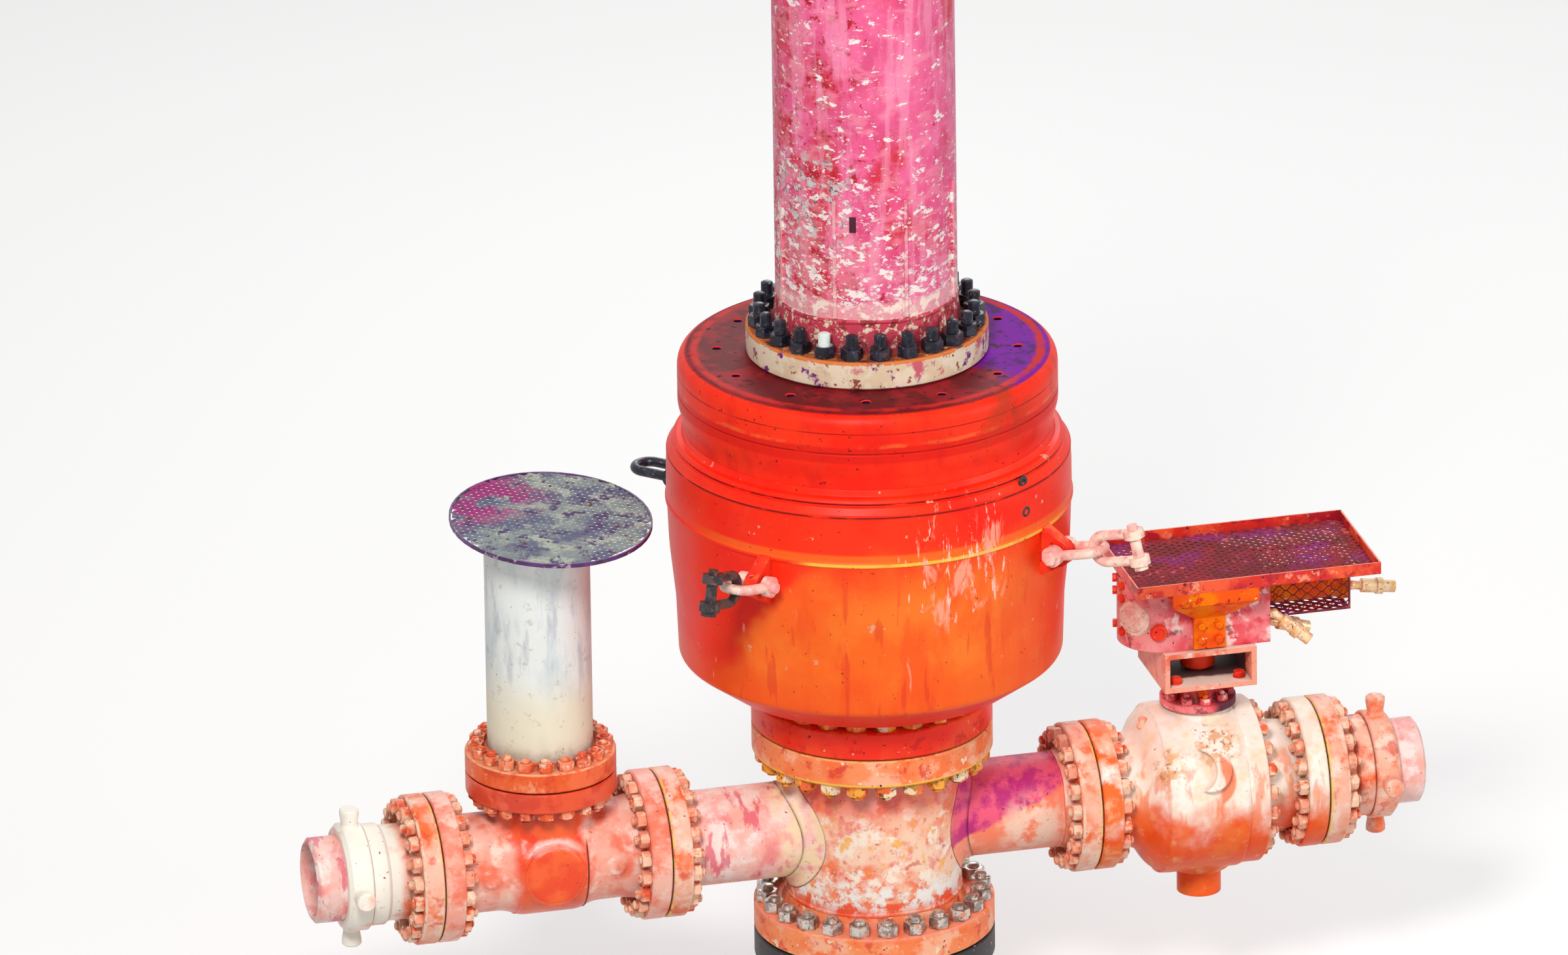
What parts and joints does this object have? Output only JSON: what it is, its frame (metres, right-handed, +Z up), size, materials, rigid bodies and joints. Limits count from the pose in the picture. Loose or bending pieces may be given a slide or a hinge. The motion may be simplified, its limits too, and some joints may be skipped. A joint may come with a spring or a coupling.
{
  "type": "oil wellhead valve stack",
  "caption": "Offshore wellhead stack: annular preventer on an outlet spool, riser above, a branch tee with a capped cylinder on one side and an actuated ball valve on the other",
  "frame": {"origin": "centre of the casing head's lower face, on the well's axis", "axes": "+Z up along the well, +X along the outlet with the ball valve, -Y toward the viewer"},
  "size_m": [3.853, 1.4591, 4.13],
  "materials": {
    "black_paint": "black paint, rubbed and salt stained",
    "faded_orange": "orange paint bleached to pink and white by the sun",
    "orange_paint": "orange red paint, rubbed along its edges",
    "rose_paint": "rose red paint, chipped to a pale primer",
    "well_red": "bright red paint, scratched and sunlit",
    "cream_paint": "cream primer with rose patches",
    "white_paint": "white paint with rust runs",
    "grey_mesh": "weathered galvanised expanded metal",
    "red_mesh": "expanded metal painted red",
    "rubber": "black moulded rubber",
    "bare_steel": "worn bare steel",
    "dark_steel": "dark oiled steel",
    "brass": "dull brass"
  },
  "bodies": {
    "stack": {"casing_base_flange": "black_paint", "casing_neck": "black_paint", "casing_top_flange": "black_paint", "spool_base_flange": "faded_orange", "spool_barrel": "faded_orange", "spool_top_flange": "orange_paint", "left_outlet_pipe": "rose_paint", "left_outlet_flange": "orange_paint", "right_outlet_pipe": "rose_paint", "right_outlet_flange": "orange_paint", "preventer_base_flange": "well_red", "preventer_body": "well_red", "preventer_cap": "well_red", "packing_unit": "rubber", "lifting_eyes": "well_red", "riser_base_flange": "cream_paint", "riser_pipe": "rose_paint", "riser_top_flange": "rose_paint", "branch_tee": "orange_paint", "branch_flange": "orange_paint", "branch_cylinder": "white_paint", "cylinder_end_plate": "white_paint", "step_rim": "grey_mesh", "step_mesh": "grey_mesh", "left_line_flange": "faded_orange", "left_union_nut": "faded_orange", "left_line_tail": "faded_orange", "right_line_flange": "faded_orange", "right_union_nut": "faded_orange", "right_line_tail": "faded_orange", "valve_body": "faded_orange", "valve_closure": "faded_orange", "stem_housing": "rose_paint", "lower_trunnion": "orange_paint", "actuator_bracket": "orange_paint", "actuator_housing": "rose_paint", "hydraulic_cylinder": "orange_paint", "cylinder_guard": "red_mesh", "platform_hanger": "orange_paint", "platform_frame": "well_red", "platform_mesh": "red_mesh", "hose_couplings": "brass"},
    "valve_ball": {"valve_ball": "bare_steel", "valve_stem": "well_red"},
    "front_right_shackle": {"front_right_shackle": "cream_paint"},
    "front_right_link": {"front_right_link": "cream_paint"},
    "front_left_shackle": {"front_left_shackle": "cream_paint"},
    "front_left_link": {"front_left_link": "bare_steel"},
    "back_left_shackle": {"back_left_shackle": "dark_steel"},
    "back_right_shackle": {"back_right_shackle": "dark_steel"}
  },
  "joints": [
    {"name": "valve_turn", "type": "hinge", "parent": "stack", "child": "valve_ball", "pos_m": [1.1355, 0, 0.8235], "axis": [0, 0, 1], "range_deg": [0, 90]},
    {"name": "front_right_swing", "type": "hinge", "parent": "stack", "child": "front_right_shackle", "pos_m": [0.52184, -0.52184, 1.935], "axis": [-0.7071, -0.7071, 0], "range_deg": [-85, 45]},
    {"name": "front_right_link_swing", "type": "hinge", "parent": "front_right_shackle", "child": "front_right_link", "pos_m": [0.6378, -0.6378, 1.97588], "axis": [-0.7071, -0.7071, 0], "range_deg": [-20, 20]},
    {"name": "front_left_swing", "type": "hinge", "parent": "stack", "child": "front_left_shackle", "pos_m": [-0.52184, -0.52184, 1.935], "axis": [-0.7071, 0.7071, 0], "range_deg": [-85, 45]},
    {"name": "front_left_link_swing", "type": "hinge", "parent": "front_left_shackle", "child": "front_left_link", "pos_m": [-0.6378, -0.6378, 1.97588], "axis": [-0.7071, 0.7071, 0], "range_deg": [-20, 20]},
    {"name": "back_left_swing", "type": "hinge", "parent": "stack", "child": "back_left_shackle", "pos_m": [-0.52184, 0.52184, 1.935], "axis": [0.7071, 0.7071, 0], "range_deg": [-90, 80]},
    {"name": "back_right_swing", "type": "hinge", "parent": "stack", "child": "back_right_shackle", "pos_m": [0.52184, 0.52184, 1.935], "axis": [0.7071, -0.7071, 0], "range_deg": [-90, 80]}
  ]
}
